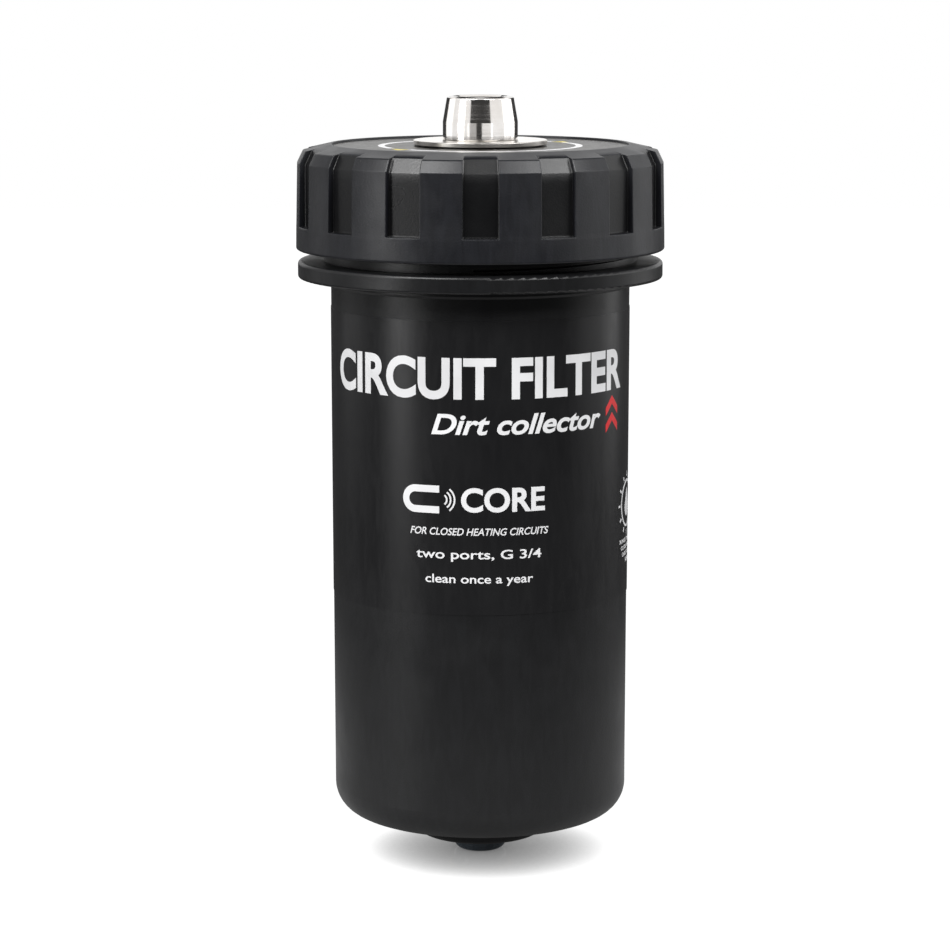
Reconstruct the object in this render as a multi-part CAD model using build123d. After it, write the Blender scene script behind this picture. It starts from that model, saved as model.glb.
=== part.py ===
from build123d import *
import math
import os

os.makedirs("parts", exist_ok=True)

# Magnetic system filter for a heating circuit, in millimetres.
# Z is the canister's axis and z = 0 is the drain plug's foot.
# The two pipe ports point along +Y, so -Y is the front.

# Overall sizes
body_radius = 53.1          # canister at its base
body_height = 196.4         # base plane to the flange's underside
drain_reach = 6.4           # drain plug's foot to the boss's face
boss_depth = 8.6            # boss's face to the base plane
flange_thickness = 6.2
cap_gap = 4.0               # open gap between flange and closed cap
cap_height = 37.5
neck_height = 25.4          # flange's top to the neck's top

# Canister walls and steps
body_draft = 0.6            # growth of the radius up the body
body_wall = 3.6
floor_thickness = 3.6
base_round = 11.0
floor_round = 8.0
boss_radius = 24.0
boss_round = 4.0
collar_step = 0.9
collar_height = 2.8
flange_inset = 0.6          # flange edge behind the cap's edge
neck_step = 3.1             # neck's outside beyond the body's
neck_wall = 4.0
seal_bore_depth = 21.0      # bore for the main seal, from the neck's top
lead_in = 1.0

# Closing thread, right-handed
thread_lead = 8.0
thread_depth = 2.4
thread_root = 4.8           # ridge width at its root
thread_crest = 2.8          # ridge width at its crest
thread_turns = 2.5
cap_thread_turns = 2.0
thread_radial_gap = 0.35
thread_start_angle = 267.5  # where the neck's ridge starts, from +X

# Screw cap
cap_wall = 4.25             # thread root to recess floor
recess_depth = 2.9
recess_count = 15
recess_width = 12.5
recess_foot = 8.8           # solid band under the recesses
cap_draft = 0.6
cap_bevel_rise = 4.3
cap_bevel_step = 2.1
cap_cone_rise = 2.1
cap_cone_step = 9.1
cap_top_wall = 3.6
cap_edge_round = 0.8
rib_wall = 5.0              # ring under the cap's top that presses on the thrust ring
cap_rim_width = 1.2         # raised rim round the label's pocket
cap_pocket_depth = 0.95     # label's pocket below the rim
cap_land_drop = 0.45        # land under the washer, below the rim
cap_land_inset = 3.0        # land's edge inside the washer's
cap_label_thickness = 0.15
cap_label_margin = 0.3      # label's edges inside the pocket's

# Closure plate, which lifts with the cap and doesn't turn
web_thickness = 4.5
skirt_wall = 5.6
skirt_depth = 17.0
skirt_gap = 0.10            # skirt to seal bore
plate_flange = 5.0
plate_edge_inset = 0.4      # plate's edge inside the neck's
hub_radius = 15.7
hub_gap = 0.30              # hub to the cap's hole
collar_drop = 14.0          # collar under the web
collar_wall = 4.1           # collar round the sheath's neck
rib_count = 8
rib_thickness = 3.0
seal_groove_depth = 2.8
seal_groove_width = 4.2
seal_groove_drop = 6.8      # plate's seat to the groove's upper wall
seal_gap = 0.05             # rubber ring to the bore that it slides in
ring_side_gap = 0.3         # rubber ring to its groove's side walls
thrust_thickness = 2.0
thrust_gap = 0.05
vent_hole_radius = 1.6
vent_hole_count = 4
gallery_radius = 6.0        # bore that brings air up to the vent

# Sheath and magnet core
sheath_radius = 15.5
sheath_wall = 1.3
sheath_floor = 2.5
sheath_tip_gap = 5.1        # separator to the sheath's tip
sheath_flange = 3.4
sheath_neck_step = 1.4
sheath_neck_gap = 0.05
sheath_neck_length = 7.1
sheath_seal_thickness = 0.5
core_gap = 0.6              # magnets to the sheath's wall
magnet_thickness = 12.0
pole_thickness = 3.0
pole_step = 0.4             # pole pieces stand out past the magnets
rod_radius = 2.5
rod_gap = 0.05
end_cap_thickness = 5.0
core_head_length = 13.0
core_head_gap = 1.0         # least room over the core's head
nut_flats = 8.0
nut_height = 4.0
nut_recess_radius = 6.0
core_seal_width = 2.6
core_seal_depth = 2.0

# Vent on top
washer_radius = 23.9
washer_thickness = 1.65
washer_gap = 0.15           # hub's top stands above the cap's land, so the cap turns free
vent_radius = 13.4
vent_straight = 6.45
vent_cone_rise = 8.5
vent_cone_radius = 11.95
vent_rim_radius = 9.8
vent_rim_rise = 0.6
vent_cup_radius = 8.2
vent_floor = 2.0            # floor of the vent's cup above the washer
vent_shank_radius = 9.0
vent_shank_length = 11.45
vent_seal_width = 1.6
vent_seal_depth = 1.4
bleed_lead = 1.5
bleed_turns = 2.0
bleed_radius = 5.0
bleed_bore_length = 8.5
bleed_head_radius = 7.2
bleed_head_height = 4.0
bleed_socket_flats = 5.0
bleed_socket_depth = 3.0
orifice_radius = 2.2
jumper_height = 1.9
jumper_seal_thickness = 0.6
jumper_pin_radius = 1.5
jumper_pin_length = 2.5
screw_gap = 0.06            # running clearance round the small screws

# Drain
insert_wall = 3.5
insert_knurl = 1.1          # knurled band beyond the insert's outside
insert_stand = 0.6          # insert's face below the boss
drain_radius = 8.0
drain_shank_length = 9.5
drain_head_step = 1.6       # head beyond the shank's bore
drain_head_taper = 0.2
drain_foot_round = 3.0
drain_washer_thickness = 0.65
drain_washer_step = 0.9     # washer's edge beyond the head
drain_washer_gap = 0.05
drain_socket_flats = 8.0
drain_socket_depth = 4.5
drain_lead = 1.5
drain_turns = 6.0
drain_ring_width = 2.4
drain_ring_depth = 1.5

# Pipe ports, G 3/4 flat-faced, one above the other at the rear
port_low = 57.0             # lower port's axis above the base plane
port_drop = 29.4            # flange's underside to the upper port's axis
port_boss_stand = 6.3       # boss's face beyond the barrel
port_boss_radius = 18.5
port_length = 14.0          # threaded part, from the boss to the port's face
port_radius = 13.22
port_bore_radius = 9.5
port_relief_radius = 10.6   # waterway inside the boss
port_root_radius = 15.0
port_inner_stand = 2.7      # spigot's inner end inside the bore
port_chamfer = 1.0
port_groove_depth = 1.2
port_groove_width = 2.0

# Inserts inside the canister
separator_drop = 31.4       # canister's floor to the plate's underside
separator_thickness = 3.0
separator_gap = 0.3
separator_hole_radius = 4.5
separator_hole_count = 12
separator_hole_ring = 36.0
separator_post_radius = 2.5
separator_post_count = 6
separator_post_ring = 24.0
separator_centre_radius = 8.0
deflector_room = 8.0        # deflector's outside to the bore
deflector_wall = 2.0
deflector_height = 36.0
deflector_arc = 96.0
deflector_gap = 0.3

# Body label, a thin film round the front
label_low = 82.8            # above the base plane
label_drop = 10.4           # flange's underside to the label's top
label_thickness = 0.15
label_arc = 230.0

# Heights worked out from the sizes above
boss_z = drain_reach
base_z = boss_z + boss_depth
floor_z = base_z + floor_thickness
flange_z = base_z + body_height
flange_top_z = flange_z + flange_thickness
cap_z = flange_top_z + cap_gap
cap_top_z = cap_z + cap_height
ceiling_z = cap_top_z - cap_top_wall
cap_pocket_z = cap_top_z - cap_pocket_depth
cap_land_z = cap_top_z - cap_land_drop
neck_top_z = flange_top_z + neck_height
plate_top_z = neck_top_z + plate_flange
web_z = neck_top_z - skirt_depth
web_top_z = web_z + web_thickness
hub_top_z = cap_land_z + washer_gap
collar_z = web_z - collar_drop
sheath_head_z = collar_z + sheath_neck_length
vent_z = hub_top_z + washer_thickness
insert_z = boss_z - insert_stand
lower_port_z = base_z + port_low
upper_port_z = flange_z - port_drop
separator_z = floor_z + separator_drop
separator_top_z = separator_z + separator_thickness
sheath_tip_z = separator_top_z + sheath_tip_gap

# Radii worked out from the sizes above
body_top_radius = body_radius + body_draft
bore_radius = body_radius - body_wall
collar_top_radius = body_top_radius + collar_step
neck_radius = body_radius + neck_step
seal_bore_radius = neck_radius - neck_wall
thread_radius = neck_radius + thread_depth
cap_root_radius = thread_radius + thread_radial_gap
cap_crest_radius = neck_radius + thread_radial_gap
recess_floor_radius = cap_root_radius + cap_wall
cap_radius = recess_floor_radius + recess_depth
flange_radius = cap_radius - flange_inset
cap_shoulder_radius = cap_radius - cap_draft
cap_bevel_radius = cap_shoulder_radius - cap_bevel_step
cap_flat_radius = cap_bevel_radius - cap_cone_step
cap_pocket_radius = cap_flat_radius - cap_rim_width
cap_land_radius = washer_radius - cap_land_inset
skirt_radius = seal_bore_radius - skirt_gap
plate_radius = neck_radius - plate_edge_inset
sheath_neck_radius = sheath_radius + sheath_neck_step
collar_radius = sheath_neck_radius + collar_wall
insert_radius = drain_radius + insert_wall
insert_knurl_radius = insert_radius + insert_knurl
drain_head_radius = drain_radius + drain_head_step
drain_foot_radius = drain_head_radius - drain_head_taper
drain_washer_radius = drain_head_radius + drain_washer_step
port_boss_reach = body_top_radius + port_boss_stand
port_reach = port_boss_reach + port_length
port_inner_reach = bore_radius - port_inner_stand
deflector_radius = bore_radius - deflector_room
magnet_radius = sheath_radius - sheath_wall - core_gap
pole_radius = magnet_radius + pole_step

# As many magnets as the sheath takes
stack_z = sheath_tip_z + sheath_floor + 0.5 + end_cap_thickness
stack_room = sheath_head_z - core_head_gap - core_head_length - pole_thickness - stack_z
magnet_pitch = magnet_thickness + pole_thickness
magnet_count = int(stack_room / magnet_pitch)
head_z = stack_z + magnet_count * magnet_pitch + pole_thickness

# The closing ridge on the neck starts just above the flange
neck_ridge_z = flange_top_z + 0.6 + thread_root / 2
cap_ridge_z = neck_ridge_z + thread_lead / 2


def turned(outline, arc=360.0):
    """Solid of revolution about Z; a corner written (r, z, round) is rounded."""
    face = make_face(Polyline(*[(corner[0], corner[1]) for corner in outline], close=True))
    for corner in outline:
        if len(corner) == 3:
            nearest = face.vertices().sort_by_distance(Vector(corner[0], corner[1]))[0]
            face = fillet(nearest, corner[2])
    return revolve(Plane.XZ * face, Axis.Z, arc)


def disc(radius, low, high):
    """Plain round disc or rod between two heights."""
    return Pos(0, 0, low) * extrude(Circle(radius), high - low)


def ring(outer, inner, low, high, rounding=0.0):
    """Flat ring; its four edges are rounded when a rounding is given."""
    corners = [(inner, low), (outer, low), (outer, high), (inner, high)]
    if rounding:
        corners = [(r, z, rounding) for r, z in corners]
    return turned(corners)


def rearward(solid, height):
    """Lay a solid built on Z down along +Y at a height."""
    return Pos(0, 0, height) * Rot(-90, 0, 0) * solid


def helix_ridge(root, crest, low, turns, start_angle):
    """Right-handed trapezoid ridge from ruled faces between four helices."""
    half_root = thread_root / 2
    half_crest = thread_crest / 2
    corners = [(root, -half_root), (crest, -half_crest), (crest, half_crest), (root, half_root)]
    edges = [
        Rot(0, 0, start_angle) * Helix(thread_lead, thread_lead * turns, r, center=(0, 0, low + dz))
        for r, dz in corners
    ]
    faces = [Face.make_surface_from_curves(edges[i], edges[(i + 1) % 4]) for i in range(4)]
    for end in (0, 1):
        faces.append(Face(Wire.make_polygon([edge.position_at(end) for edge in edges], close=True)))
    return Solid(Shell(faces))


def canister():
    """Moulded body: boss, drafted barrel, flange, threaded neck and two port bosses."""
    knurl_low = insert_z + 3.0
    knurl_high = floor_z - 2.6
    shell = turned([
        (insert_radius, boss_z),
        (boss_radius, boss_z, boss_round),
        (boss_radius, base_z, 1.5),
        (body_radius, base_z, base_round),
        (body_top_radius, flange_z - collar_height),
        (collar_top_radius, flange_z - collar_height + collar_step),
        (collar_top_radius, flange_z),
        (flange_radius, flange_z, 1.0),
        (flange_radius, flange_top_z, 1.2),
        (neck_radius, flange_top_z),
        (neck_radius, neck_top_z, 0.5),
        (seal_bore_radius + lead_in, neck_top_z),
        (seal_bore_radius, neck_top_z - 2 * lead_in),
        (seal_bore_radius, neck_top_z - seal_bore_depth),
        (bore_radius, neck_top_z - seal_bore_depth - seal_bore_radius + bore_radius),
        (bore_radius, floor_z, floor_round),
        (insert_radius, floor_z),
        (insert_radius, knurl_high),
        (insert_knurl_radius, knurl_high),
        (insert_knurl_radius, knurl_low),
        (insert_radius, knurl_low),
    ])
    shell += helix_ridge(neck_radius - 0.2, thread_radius, neck_ridge_z, thread_turns, thread_start_angle)
    for height in (lower_port_z, upper_port_z):
        boss = rearward(disc(port_boss_radius, bore_radius - 4, port_boss_reach), height)
        boss = chamfer(boss.edges().group_by(Axis.Y)[-1], 1.0)
        boss -= disc(bore_radius, floor_z + floor_round, neck_top_z)
        shell += boss
        shell -= rearward(spigot_blank(), height)
    return shell


def spigot_blank():
    """Port spigot without its waterway: threaded end, root and a locking groove."""
    groove = (port_boss_reach + bore_radius) / 2
    return turned([
        (0, port_inner_reach),
        (port_root_radius, port_inner_reach),
        (port_root_radius, groove - port_groove_width / 2),
        (port_root_radius - port_groove_depth, groove - port_groove_width / 2),
        (port_root_radius - port_groove_depth, groove + port_groove_width / 2),
        (port_root_radius, groove + port_groove_width / 2),
        (port_root_radius, port_boss_reach),
        (port_radius, port_boss_reach),
        (port_radius, port_reach - port_chamfer),
        (port_radius - port_chamfer, port_reach),
        (0, port_reach),
    ])


def port_spigot(height):
    """Plated brass spigot moulded into the canister, with a stepped waterway."""
    throat = port_boss_reach + 1.0
    waterway = disc(port_bore_radius, throat - 1, port_reach + 1)
    waterway += disc(port_relief_radius, port_inner_reach - 1, throat)
    return rearward(spigot_blank() - waterway, height)


def drain_insert():
    """Brass insert in the base that carries the drain plug."""
    return turned([
        (drain_radius, insert_z),
        (insert_radius, insert_z, 0.3),
        (insert_radius, insert_z + 3.0),
        (insert_knurl_radius, insert_z + 3.0),
        (insert_knurl_radius, floor_z - 2.6),
        (insert_radius, floor_z - 2.6),
        (insert_radius, floor_z),
        (drain_radius + 0.5, floor_z),
        (drain_radius, floor_z - 0.5),
    ])


def body_label():
    """Thin film wrapped round the front of the drafted barrel."""
    def barrel(z):
        share = (z - base_z) / (body_height - collar_height)
        return body_radius + body_draft * share

    low = base_z + label_low
    high = flange_z - label_drop
    film = turned([
        (barrel(low) + 0.01, low),
        (barrel(low) + 0.01 + label_thickness, low),
        (barrel(high) + 0.01 + label_thickness, high),
        (barrel(high) + 0.01, high),
    ], label_arc)
    return Rot(0, 0, -90 - label_arc / 2) * film


def separator():
    """Perforated plate on posts that keeps settled debris in the lower chamber."""
    plate = disc(bore_radius - separator_gap, separator_z, separator_top_z)
    plate -= disc(separator_centre_radius, separator_z - 1, separator_top_z + 1)
    for place in PolarLocations(separator_hole_ring, separator_hole_count):
        plate -= place * disc(separator_hole_radius, separator_z - 1, separator_top_z + 1)
    for place in PolarLocations(separator_post_ring, separator_post_count):
        plate += place * disc(separator_post_radius, floor_z, separator_z)
    return plate


def deflector():
    """Curved baffle before the lower port, open to one side so the flow swirls."""
    low = separator_top_z + 1.0
    high = low + deflector_height
    wall = turned([
        (deflector_radius - deflector_wall, low),
        (deflector_radius, low),
        (deflector_radius, high),
        (deflector_radius - deflector_wall, high),
    ], deflector_arc)
    fin = turned([
        (deflector_radius - deflector_wall, low),
        (bore_radius - deflector_gap, low),
        (bore_radius - deflector_gap, high),
        (deflector_radius - deflector_wall, high),
    ], 3.0)
    wall += Rot(0, 0, deflector_arc - 3.0) * fin
    return Rot(0, 0, 90 - deflector_arc / 2) * wall


def closure_plate():
    """Dished plate with a sealing skirt, a hub through the cap and a collar for the sheath."""
    groove_high = neck_top_z - seal_groove_drop
    groove_low = groove_high - seal_groove_width
    bore_top = hub_top_z - vent_shank_length - 2.0
    seat = sheath_neck_radius + sheath_neck_gap
    plate = turned([
        (gallery_radius, sheath_head_z + sheath_seal_thickness),
        (seat, sheath_head_z + sheath_seal_thickness),
        (seat, collar_z),
        (collar_radius, collar_z, 1.0),
        (collar_radius, web_z),
        (skirt_radius, web_z, 1.0),
        (skirt_radius, groove_low),
        (skirt_radius - seal_groove_depth, groove_low),
        (skirt_radius - seal_groove_depth, groove_high),
        (skirt_radius, groove_high),
        (skirt_radius, neck_top_z),
        (plate_radius, neck_top_z),
        (plate_radius, plate_top_z, 0.8),
        (skirt_radius - skirt_wall, plate_top_z),
        (skirt_radius - skirt_wall, web_top_z, 2.0),
        (collar_radius, web_top_z, 2.0),
        (collar_radius, plate_top_z, 1.0),
        (hub_radius, plate_top_z),
        (hub_radius, hub_top_z, 0.4),
        (vent_shank_radius, hub_top_z),
        (vent_shank_radius, bore_top),
        (gallery_radius, bore_top),
    ])
    rib_length = skirt_radius - skirt_wall - collar_radius + 1.0
    rib_middle = (skirt_radius - skirt_wall + collar_radius) / 2
    rib_height = plate_top_z - 2.0 - web_top_z
    for place in PolarLocations(rib_middle, rib_count):
        plate += place * Pos(0, 0, web_top_z - 1.0 + (rib_height + 1.0) / 2) * Box(
            rib_length, rib_thickness, rib_height + 1.0)
    hole_z = (sheath_head_z + sheath_seal_thickness + web_z) / 2
    for step in range(vent_hole_count):
        hole = Rot(0, 90, 0) * disc(vent_hole_radius, 0, collar_radius + 1)
        plate -= Pos(0, 0, hole_z) * Rot(0, 0, 45 + step * 360 / vent_hole_count) * hole
    return plate


def main_seal():
    """Rubber ring between the closure's skirt and the neck's bore."""
    high = neck_top_z - seal_groove_drop - ring_side_gap
    low = neck_top_z - seal_groove_drop - seal_groove_width + ring_side_gap
    inner = skirt_radius - seal_groove_depth + 0.02
    return ring(seal_bore_radius - seal_gap, inner, low, high, 1.2)


def thrust_ring():
    """Low-friction ring that the turning cap presses on."""
    outer = plate_radius - 1.0
    return ring(outer, outer - rib_wall - 2.0, plate_top_z, plate_top_z + thrust_thickness, 0.3)


def sheath():
    """Thin closed tube that holds the magnet core dry."""
    inner = sheath_radius - sheath_wall
    return turned([
        (0, sheath_tip_z),
        (sheath_radius, sheath_tip_z, 5.0),
        (sheath_radius, collar_z - sheath_flange),
        (collar_radius - 0.2, collar_z - sheath_flange, 0.6),
        (collar_radius - 0.2, collar_z),
        (sheath_neck_radius, collar_z),
        (sheath_neck_radius, sheath_head_z, 0.4),
        (inner, sheath_head_z),
        (inner, sheath_tip_z + sheath_floor, 3.0),
        (0, sheath_tip_z + sheath_floor),
    ])


def sheath_seal():
    """Flat gasket between the sheath's rim and its seat."""
    inner = sheath_radius - sheath_wall + 0.2
    return ring(sheath_neck_radius - 0.1, inner, sheath_head_z, sheath_head_z + sheath_seal_thickness)


def core_end_cap():
    """Lower end cap of the magnet core, threaded on the rod."""
    low = stack_z - end_cap_thickness
    cap = ring(magnet_radius, rod_radius + rod_gap, low, stack_z)
    return cap - ring(magnet_radius + 1, magnet_radius - 1, low - 1, low + 2.5)


def core_rod():
    """Tie rod through the whole magnet core."""
    low = stack_z - end_cap_thickness
    rod = disc(rod_radius, low, head_z + core_head_length - 0.4)
    return chamfer(rod.edges(), 0.4)


def core_magnets():
    """Ring magnets, one solid each."""
    magnets = []
    for step in range(magnet_count):
        low = stack_z + pole_thickness + step * magnet_pitch
        magnets.append(ring(magnet_radius, rod_radius + rod_gap, low, low + magnet_thickness))
    return Compound(children=magnets)


def pole_pieces():
    """Steel discs between the magnets, one solid each."""
    poles = []
    for step in range(magnet_count + 1):
        low = stack_z + step * magnet_pitch
        poles.append(ring(pole_radius, rod_radius + rod_gap, low, low + pole_thickness))
    return Compound(children=poles)


def core_head():
    """Upper head of the magnet core, with a seal groove and a pocket for the nut."""
    high = head_z + core_head_length
    outer = sheath_radius - sheath_wall - 0.15
    groove = high - 3.0
    return turned([
        (rod_radius + rod_gap, head_z),
        (outer, head_z, 0.4),
        (outer, groove - core_seal_width),
        (outer - core_seal_depth, groove - core_seal_width),
        (outer - core_seal_depth, groove),
        (outer, groove),
        (outer, high, 0.4),
        (nut_recess_radius, high),
        (nut_recess_radius, high - nut_height - 0.5),
        (rod_radius + rod_gap, high - nut_height - 0.5),
    ])


def core_seal():
    """Rubber ring that seals the core's head in the sheath."""
    groove = head_z + core_head_length - 3.0
    wall = sheath_radius - sheath_wall
    inner = wall - 0.15 - core_seal_depth + 0.02
    return ring(wall - 0.02, inner, groove - core_seal_width + 0.2, groove - 0.2, 0.7)


def core_nut():
    """Hexagon nut that clamps the stack."""
    low = head_z + core_head_length - nut_height - 0.5
    blank = extrude(RegularPolygon(nut_flats / 2, 6, major_radius=False), nut_height)
    return Pos(0, 0, low) * (blank - disc(rod_radius + rod_gap, -1, nut_height + 1))


def vent_washer():
    """Steel washer over the cap's hole, held down by the vent."""
    return ring(washer_radius, vent_shank_radius + 0.3, hub_top_z, vent_z, 0.25)


def vent_body():
    """Plated brass spigot screwed into the hub; its cup hides the bleed screw."""
    straight_z = vent_z + vent_straight
    cone_z = straight_z + vent_cone_rise
    rim_z = cone_z + vent_rim_rise
    cup_z = vent_z + vent_floor
    shank_z = hub_top_z - vent_shank_length
    groove_high = hub_top_z - 2.0
    groove_low = groove_high - vent_seal_width
    shank = vent_shank_radius - 0.05
    return turned([
        (orifice_radius, shank_z),
        (shank, shank_z, 0.5),
        (shank, groove_low),
        (shank - vent_seal_depth, groove_low),
        (shank - vent_seal_depth, groove_high),
        (shank, groove_high),
        (shank, vent_z),
        (vent_radius, vent_z, 0.3),
        (vent_radius, straight_z),
        (vent_cone_radius, cone_z, 0.4),
        (vent_rim_radius, rim_z, 0.2),
        (vent_cup_radius + 0.6, rim_z),
        (vent_cup_radius, rim_z - 0.6),
        (vent_cup_radius, cup_z),
        (bleed_radius, cup_z),
        (bleed_radius, cup_z - bleed_bore_length),
        (orifice_radius, cup_z - bleed_bore_length),
    ])


def vent_seal():
    """Rubber ring between the vent's shank and the hub."""
    high = hub_top_z - 2.0
    inner = vent_shank_radius - 0.05 - vent_seal_depth + 0.02
    return ring(vent_shank_radius - 0.02, inner, high - vent_seal_width + 0.1, high - 0.1, 0.5)


seat_z = vent_z + vent_floor - bleed_bore_length


def jumper_seal():
    """Rubber face that shuts the vent's orifice."""
    return disc(bleed_radius - 0.4, seat_z, seat_z + jumper_seal_thickness)


def bleed_jumper():
    """Loose jumper under the bleed screw; it rises without turning."""
    low = seat_z + jumper_seal_thickness
    body = disc(bleed_radius - screw_gap, low, low + jumper_height)
    return body + disc(jumper_pin_radius, low + jumper_height, low + jumper_height + jumper_pin_length)


def bleed_screw():
    """Hollow-head screw with an air groove down its side."""
    low = seat_z + jumper_seal_thickness + jumper_height
    shoulder = vent_z + vent_floor + 0.1
    high = shoulder + bleed_head_height
    screw = turned([
        (0, low),
        (bleed_radius - screw_gap, low, 0.3),
        (bleed_radius - screw_gap, shoulder),
        (bleed_head_radius, shoulder, 0.2),
        (bleed_head_radius, high, 0.6),
        (0, high),
    ])
    screw -= disc(jumper_pin_radius + screw_gap, low - 1, low + jumper_pin_length + 0.3)
    socket = extrude(RegularPolygon(bleed_socket_flats / 2, 6, major_radius=False), bleed_socket_depth + 1)
    screw -= Pos(0, 0, high - bleed_socket_depth) * socket
    return screw - Pos(bleed_radius, 0, (low + shoulder) / 2) * Box(1.4, 1.6, shoulder - low + 2)


def screw_cap():
    """Ribbed cap with an inside ridge that runs on the neck's thread."""
    shoulder_z = cap_top_z - cap_cone_rise - cap_bevel_rise
    bevel_z = cap_top_z - cap_cone_rise
    hole = hub_radius + hub_gap
    rib_outer = plate_radius - 2.0
    rib_low = plate_top_z + thrust_thickness + thrust_gap
    cap = turned([
        (cap_root_radius, cap_z),
        (cap_radius, cap_z, cap_edge_round),
        (cap_shoulder_radius, shoulder_z),
        (cap_bevel_radius, bevel_z),
        (cap_flat_radius, cap_top_z),
        (cap_pocket_radius, cap_top_z),
        (cap_pocket_radius, cap_pocket_z),
        (cap_land_radius, cap_pocket_z),
        (cap_land_radius, cap_land_z),
        (hole, cap_land_z),
        (hole, ceiling_z),
        (rib_outer - rib_wall, ceiling_z),
        (rib_outer - rib_wall, rib_low),
        (rib_outer, rib_low),
        (rib_outer, ceiling_z),
        (cap_root_radius, ceiling_z, 1.0),
    ])
    reach = cap_radius + 3
    slope = cap_bevel_step / cap_bevel_rise
    top = cap_top_z + 1
    lean_z = shoulder_z - 0.7
    notch = make_face(Polyline(
        (recess_floor_radius, cap_z + recess_foot),
        (reach, cap_z + recess_foot),
        (reach, top),
        (recess_floor_radius - slope * (top - lean_z), top),
        (recess_floor_radius, lean_z),
        close=True))
    cutter = extrude(Plane.XZ * notch, recess_width / 2, both=True)
    for step in range(recess_count):
        cap -= Rot(0, 0, -90 + step * 360 / recess_count) * cutter
    cap += helix_ridge(cap_root_radius + 0.2, cap_crest_radius, cap_ridge_z, cap_thread_turns,
                       thread_start_angle)
    return cap


def cap_label():
    """Thin printed disc stuck in the pocket of the cap's top."""
    low = cap_pocket_z + 0.01
    return ring(cap_pocket_radius - cap_label_margin, cap_land_radius + cap_label_margin, low,
                low + cap_label_thickness)


def drain_washer():
    """Sealing washer under the drain plug's head; it drops without turning."""
    high = insert_z - drain_washer_gap
    return ring(drain_washer_radius, drain_radius + 0.1, high - drain_washer_thickness, high, 0.15)


def drain_plug():
    """Tapered plug with a hexagon socket in its foot and a ring groove on its shank."""
    head_z = insert_z - drain_washer_gap - drain_washer_thickness
    shank_top = insert_z + drain_shank_length
    shank = drain_radius - screw_gap
    groove = shank_top - 2.0
    plug = turned([
        (0, 0),
        (drain_foot_radius, 0, drain_foot_round),
        (drain_head_radius, head_z, 0.3),
        (shank, head_z),
        (shank, groove - drain_ring_width),
        (shank - drain_ring_depth, groove - drain_ring_width),
        (shank - drain_ring_depth, groove),
        (shank, groove),
        (shank, shank_top, 0.5),
        (0, shank_top),
    ])
    socket = extrude(RegularPolygon(drain_socket_flats / 2, 6, major_radius=False), drain_socket_depth + 1)
    return plug - Pos(0, 0, -1) * socket


def drain_ring():
    """Rubber ring in the drain plug's groove."""
    high = insert_z + drain_shank_length - 2.0 - 0.2
    low = high - drain_ring_width + 0.4
    inner = drain_radius - screw_gap - drain_ring_depth + 0.02
    return ring(drain_radius - 0.03, inner, low, high, 0.6)


nodes = {
    "canister": canister(),
    "body_label": body_label(),
    "lower_spigot": port_spigot(lower_port_z),
    "upper_spigot": port_spigot(upper_port_z),
    "drain_insert": drain_insert(),
    "separator": separator(),
    "deflector": deflector(),
    "closure_plate": closure_plate(),
    "main_seal": main_seal(),
    "thrust_ring": thrust_ring(),
    "sheath": sheath(),
    "sheath_seal": sheath_seal(),
    "core_end_cap": core_end_cap(),
    "core_rod": core_rod(),
    "core_magnets": core_magnets(),
    "pole_pieces": pole_pieces(),
    "core_head": core_head(),
    "core_seal": core_seal(),
    "core_nut": core_nut(),
    "vent_washer": vent_washer(),
    "vent_body": vent_body(),
    "vent_seal": vent_seal(),
    "jumper_seal": jumper_seal(),
    "bleed_jumper": bleed_jumper(),
    "bleed_screw": bleed_screw(),
    "screw_cap": screw_cap(),
    "cap_label": cap_label(),
    "drain_washer": drain_washer(),
    "drain_plug": drain_plug(),
    "drain_ring": drain_ring(),
}

for name, shape in nodes.items():
    shape.label = name
    export_step(shape, f"parts/{name}.step")

print("magnets", magnet_count)
print("cap lifts", thread_lead * thread_turns, "mm in", thread_turns, "turns")
print("bleed screw rises", bleed_lead * bleed_turns, "mm in", bleed_turns, "turns")
print("drain plug drops", drain_lead * drain_turns, "mm in", drain_turns, "turns")
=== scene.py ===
import math
import bmesh
import bpy
import numpy as np
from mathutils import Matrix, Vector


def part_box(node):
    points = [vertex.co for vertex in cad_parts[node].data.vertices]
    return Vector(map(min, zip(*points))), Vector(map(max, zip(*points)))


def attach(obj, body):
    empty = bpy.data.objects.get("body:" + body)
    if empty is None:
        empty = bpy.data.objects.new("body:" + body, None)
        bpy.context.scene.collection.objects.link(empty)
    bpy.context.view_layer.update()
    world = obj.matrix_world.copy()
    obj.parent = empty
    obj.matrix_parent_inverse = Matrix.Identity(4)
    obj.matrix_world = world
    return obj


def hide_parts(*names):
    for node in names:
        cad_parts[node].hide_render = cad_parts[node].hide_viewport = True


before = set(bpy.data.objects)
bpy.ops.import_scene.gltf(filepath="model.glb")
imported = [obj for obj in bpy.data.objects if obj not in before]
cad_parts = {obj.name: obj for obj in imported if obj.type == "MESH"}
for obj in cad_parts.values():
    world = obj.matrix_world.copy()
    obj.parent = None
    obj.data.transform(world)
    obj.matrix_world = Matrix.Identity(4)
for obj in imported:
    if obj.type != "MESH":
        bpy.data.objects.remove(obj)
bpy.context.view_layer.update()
mm = 0.001
tau = 2 * math.pi
print("stage: frame loaded,", len(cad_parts), "nodes")


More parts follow.
